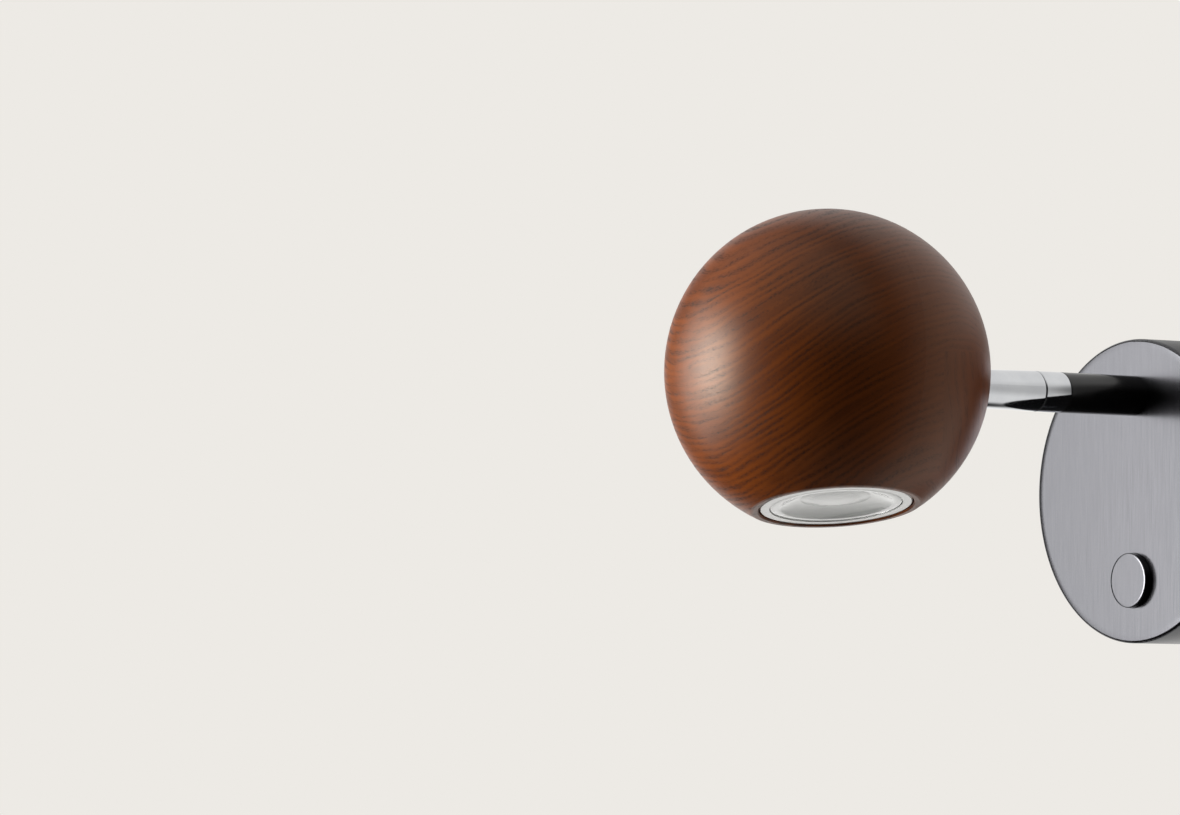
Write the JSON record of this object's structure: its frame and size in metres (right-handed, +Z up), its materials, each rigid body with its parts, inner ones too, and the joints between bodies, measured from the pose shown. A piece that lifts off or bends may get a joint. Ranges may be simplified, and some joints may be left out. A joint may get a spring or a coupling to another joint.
{
  "type": "wall sconce",
  "caption": "Wall reading lamp: turned wooden ball with a recessed twist-lock reflector lamp on a short swivelling arm, round base with a push button.",
  "frame": {"origin": "centre of the base on the wall plane, midway between the two wall screw slots", "axes": "+Y into the wall, so the lamp stands out along -Y; +Z up; +X to the right as seen from the room"},
  "size_m": [0.1067, 0.2126, 0.1403],
  "materials": {
    "graphite_metal": "satin graphite, finely brushed",
    "black_metal": "gloss black",
    "black_steel": "blackened",
    "chrome": "polished",
    "zinc_steel": "zinc plated",
    "brass": "plain",
    "stained_wood": "dark walnut stain under satin lacquer",
    "white_plastic": "moulded",
    "black_plastic": "moulded",
    "nylon": "natural",
    "lead_sheath": "smooth sheath",
    "ceramic": "unglazed",
    "lamp_shell": "smooth",
    "clear_lens": "clear, polished"
  },
  "bodies": {
    "base": {"base_cover": "graphite_metal", "wall_bracket": "zinc_steel", "cover_screws": "black_steel", "terminal_block": "white_plastic", "terminal_screws": "zinc_steel", "block_screws": "zinc_steel", "earth_screw": "brass", "switch_body": "black_plastic", "switch_screws": "zinc_steel", "switch_terminals": "brass", "switch_leads": "lead_sheath", "arm_tube": "black_metal", "arm_collar": "chrome", "arm_nipple": "zinc_steel", "arm_washer": "zinc_steel", "arm_nut": "brass", "stop_pin": "zinc_steel", "supply_lead": "lead_sheath"},
    "button": {"button_cap": "graphite_metal", "switch_spring": "zinc_steel"},
    "neck": {"neck_tube": "chrome", "swivel_pin": "zinc_steel", "swivel_washers": "nylon"},
    "head": {"wood_ball": "stained_wood", "knuckle_socket": "black_steel", "knuckle_pin": "zinc_steel", "knuckle_washers": "nylon", "socket_nut": "brass", "lamp_bracket": "zinc_steel", "lampholder": "ceramic", "holder_screws": "zinc_steel", "holder_contacts": "brass", "head_lead": "lead_sheath"},
    "lamp": {"lamp_body": "lamp_shell", "lamp_lens": "clear_lens", "lamp_board": "white_plastic", "lamp_pins": "zinc_steel"}
  },
  "joints": [
    {"name": "button_press", "type": "slide", "parent": "base", "child": "button", "axis": [0, 1, 0], "range_m": [0, 0.0015], "stiffness_N_per_m": 800, "springref_m": -0.003, "deforming": ["switch_spring"]},
    {"name": "neck_swivel", "type": "hinge", "parent": "base", "child": "neck", "pos_m": [0, -0.0729, 0.0322], "axis": [0, -1, 0], "range_deg": [-171.6, 148.4]},
    {"name": "head_tilt", "type": "hinge", "parent": "neck", "child": "head", "pos_m": [0, -0.1107, 0.0322], "axis": [-0.9796, 0, -0.2011], "range_deg": [-28.8, 21.2]},
    {"name": "lamp_twist", "type": "hinge", "parent": "head", "child": "lamp", "pos_m": [-0.00065, -0.15919, 0.03535], "axis": [0.2006, -0.0663, -0.9774], "range_deg": [0, 25]}
  ]
}
